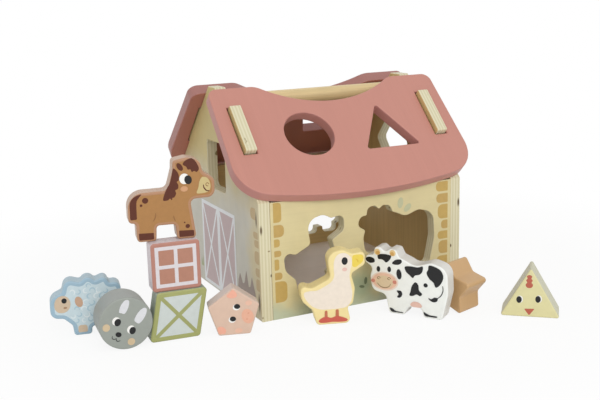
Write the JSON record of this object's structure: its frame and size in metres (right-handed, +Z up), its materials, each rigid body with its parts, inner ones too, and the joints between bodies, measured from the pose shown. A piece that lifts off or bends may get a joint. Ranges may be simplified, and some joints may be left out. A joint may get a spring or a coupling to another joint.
{
  "type": "shape sorter",
  "caption": "Wooden farmhouse shape sorter with a lift-off roof in two panels, posting holes on every side and loose animal and shape blocks.",
  "frame": {"origin": "on the floor under the middle of the house, in the underside of its base board", "axes": "+Z up, -Y out of the front wall with the duck and cow holes, +X to the right as that wall is seen"},
  "size_m": [0.3777, 0.3025, 0.18],
  "materials": {
    "wall_print": "cream printed lacquer on birch plywood, satin",
    "plywood": "clear satin lacquer on birch plywood",
    "roof_paint": "satin dusty rose paint",
    "dowel_wood": "sanded clear-lacquered beech",
    "pin_wood": "plain beech, glued",
    "duck_paint": "satin pale yellow and white print",
    "cow_paint": "satin white print with black patches",
    "horse_paint": "satin tan print",
    "sheep_paint": "satin pale blue print",
    "rabbit_paint": "satin grey print",
    "window_paint": "satin terracotta print",
    "barn_door_paint": "satin olive print",
    "pig_paint": "satin pale peach print",
    "star_paint": "satin tan paint",
    "chick_paint": "satin pale yellow print"
  },
  "bodies": {
    "house": {"base_panel": "plywood", "front_wall": "wall_print", "back_wall": "wall_print", "left_gable": "wall_print", "right_gable": "wall_print", "handle_dowel": "dowel_wood", "front_wall_pins": "pin_wood", "back_wall_pins": "pin_wood", "base_pins": "pin_wood"},
    "front_roof": {"front_roof_panel": "roof_paint"},
    "back_roof": {"back_roof_panel": "roof_paint"},
    "duck": {"duck_block": "duck_paint"},
    "cow": {"cow_block": "cow_paint"},
    "pig": {"pig_block": "pig_paint"},
    "star": {"star_block": "star_paint"},
    "chick": {"chick_block": "chick_paint"},
    "sheep": {"sheep_block": "sheep_paint"},
    "rabbit": {"rabbit_block": "rabbit_paint"},
    "barn_door": {"barn_door_block": "barn_door_paint"},
    "window": {"window_block": "window_paint"},
    "horse": {"horse_block": "horse_paint"}
  },
  "joints": [
    {"name": "front_roof_lift", "type": "slide", "parent": "house", "child": "front_roof", "axis": [0, -0.7071, 0.7071], "range_m": [0, 0.06]},
    {"name": "back_roof_lift", "type": "slide", "parent": "house", "child": "back_roof", "axis": [0, 0.7071, 0.7071], "range_m": [0, 0.06]},
    {"name": "duck_pick_up", "type": "slide", "parent": "house", "child": "duck", "axis": [0, -0.6, 0.8], "range_m": [0, 0.06]},
    {"name": "cow_pick_up", "type": "slide", "parent": "house", "child": "cow", "axis": [0, -0.6, 0.8], "range_m": [0, 0.06]},
    {"name": "pig_pick_up", "type": "slide", "parent": "house", "child": "pig", "axis": [0, -0.6, 0.8], "range_m": [0, 0.06]},
    {"name": "star_pick_up", "type": "slide", "parent": "house", "child": "star", "axis": [0, 0, 1], "range_m": [0, 0.06]},
    {"name": "chick_pick_up", "type": "slide", "parent": "house", "child": "chick", "axis": [0, 0, 1], "range_m": [0, 0.06]},
    {"name": "sheep_pick_up", "type": "slide", "parent": "house", "child": "sheep", "axis": [0, 0, 1], "range_m": [0, 0.06]},
    {"name": "rabbit_pick_up", "type": "slide", "parent": "house", "child": "rabbit", "axis": [0, -0.6, 0.8], "range_m": [0, 0.06]},
    {"name": "barn_door_pick_up", "type": "slide", "parent": "house", "child": "barn_door", "axis": [0.25, 0, 0.9682], "range_m": [0, 0.06]},
    {"name": "window_pick_up", "type": "slide", "parent": "barn_door", "child": "window", "axis": [0, 0, 1], "range_m": [0, 0.06]},
    {"name": "horse_pick_up", "type": "slide", "parent": "window", "child": "horse", "axis": [0, 0, 1], "range_m": [0, 0.06]}
  ]
}
